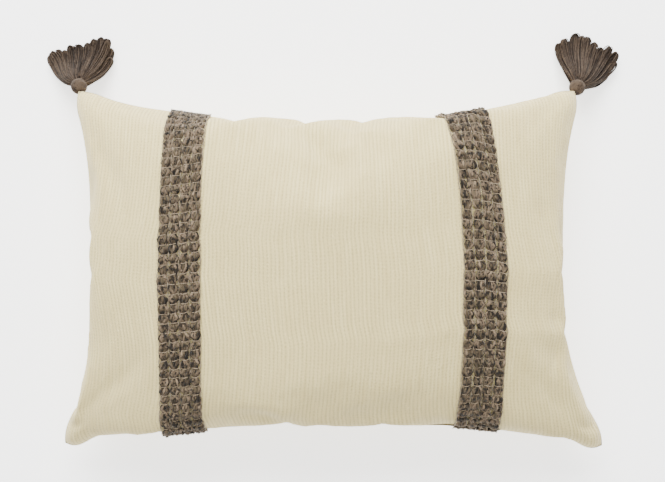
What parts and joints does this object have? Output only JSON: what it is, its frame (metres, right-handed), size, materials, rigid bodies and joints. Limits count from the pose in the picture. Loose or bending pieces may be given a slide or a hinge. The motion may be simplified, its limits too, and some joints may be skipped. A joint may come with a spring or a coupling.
{
  "type": "throw pillow",
  "caption": "Rectangular stuffed lumbar pillow with a hand-woven ribbed cover, thick wool stripes, yarn tassels on its upper corners and a hidden zip.",
  "frame": {"origin": "middle of the flat patch on the back that the pillow rests on", "axes": "+X along the long side, +Y towards the corners with tassels, +Z out of the striped front"},
  "size_m": [0.5398, 0.3768, 0.1342],
  "materials": {
    "ribbed_cotton": "matte",
    "back_cotton": "matte",
    "marled_wool": "matte",
    "tassel_yarn": "matte",
    "casing_cloth": "matte",
    "polyester_fibre": "matte",
    "zip_tape": "matte",
    "zip_coil": "satin",
    "zip_metal": "satin"
  },
  "bodies": {
    "pillow": {"cover_front": "ribbed_cotton", "cover_back": "back_cotton", "stripe_left_yarn_1": "marled_wool", "stripe_left_yarn_2": "marled_wool", "stripe_left_yarn_3": "marled_wool", "stripe_left_yarn_4": "marled_wool", "stripe_right_yarn_1": "marled_wool", "stripe_right_yarn_2": "marled_wool", "stripe_right_yarn_3": "marled_wool", "stripe_right_yarn_4": "marled_wool", "insert_casing_front": "casing_cloth", "insert_casing_back": "casing_cloth", "fibre_fill": "polyester_fibre", "zip_tape_front": "zip_tape", "zip_tape_back": "zip_tape", "zip_coil_front": "zip_coil", "zip_coil_back": "zip_coil", "zip_bottom_stop": "zip_metal", "zip_top_stop": "zip_metal"},
    "zip_slider": {"zip_slider": "zip_metal"},
    "zip_pull": {"zip_pull_tab": "zip_metal"},
    "tassel_left_loop": {"tassel_left_loop": "tassel_yarn"},
    "tassel_left": {"tassel_left_head": "tassel_yarn", "tassel_left_neck_wrap": "tassel_yarn", "tassel_left_skirt": "tassel_yarn"},
    "tassel_right_loop": {"tassel_right_loop": "tassel_yarn"},
    "tassel_right": {"tassel_right_head": "tassel_yarn", "tassel_right_neck_wrap": "tassel_yarn", "tassel_right_skirt": "tassel_yarn"}
  },
  "joints": [
    {"name": "zip_slide", "type": "slide", "parent": "pillow", "child": "zip_slider", "axis": [1, 0, 0], "range_m": [-0.272, 0]},
    {"name": "zip_tab_hinge", "type": "hinge", "parent": "zip_slider", "child": "zip_pull", "pos_m": [0.1418, -0.1379, 0.058], "axis": [0, 0, 1], "range_deg": [0, 150]},
    {"name": "tassel_left_turn", "type": "hinge", "parent": "pillow", "child": "tassel_left_loop", "pos_m": [-0.2322, 0.1673, 0.036], "axis": [0, 0, 1], "range_deg": [-30, 50]},
    {"name": "tassel_left_swing", "type": "hinge", "parent": "tassel_left_loop", "child": "tassel_left", "pos_m": [-0.2322, 0.1673, 0.036], "axis": [0.9848, 0.1736, 0], "range_deg": [-55, 105]},
    {"name": "tassel_right_turn", "type": "hinge", "parent": "pillow", "child": "tassel_right_loop", "pos_m": [0.2322, 0.1673, 0.036], "axis": [0, 0, 1], "range_deg": [-50, 30]},
    {"name": "tassel_right_swing", "type": "hinge", "parent": "tassel_right_loop", "child": "tassel_right", "pos_m": [0.2322, 0.1673, 0.036], "axis": [0.9272, -0.3746, 0], "range_deg": [-55, 105]}
  ]
}
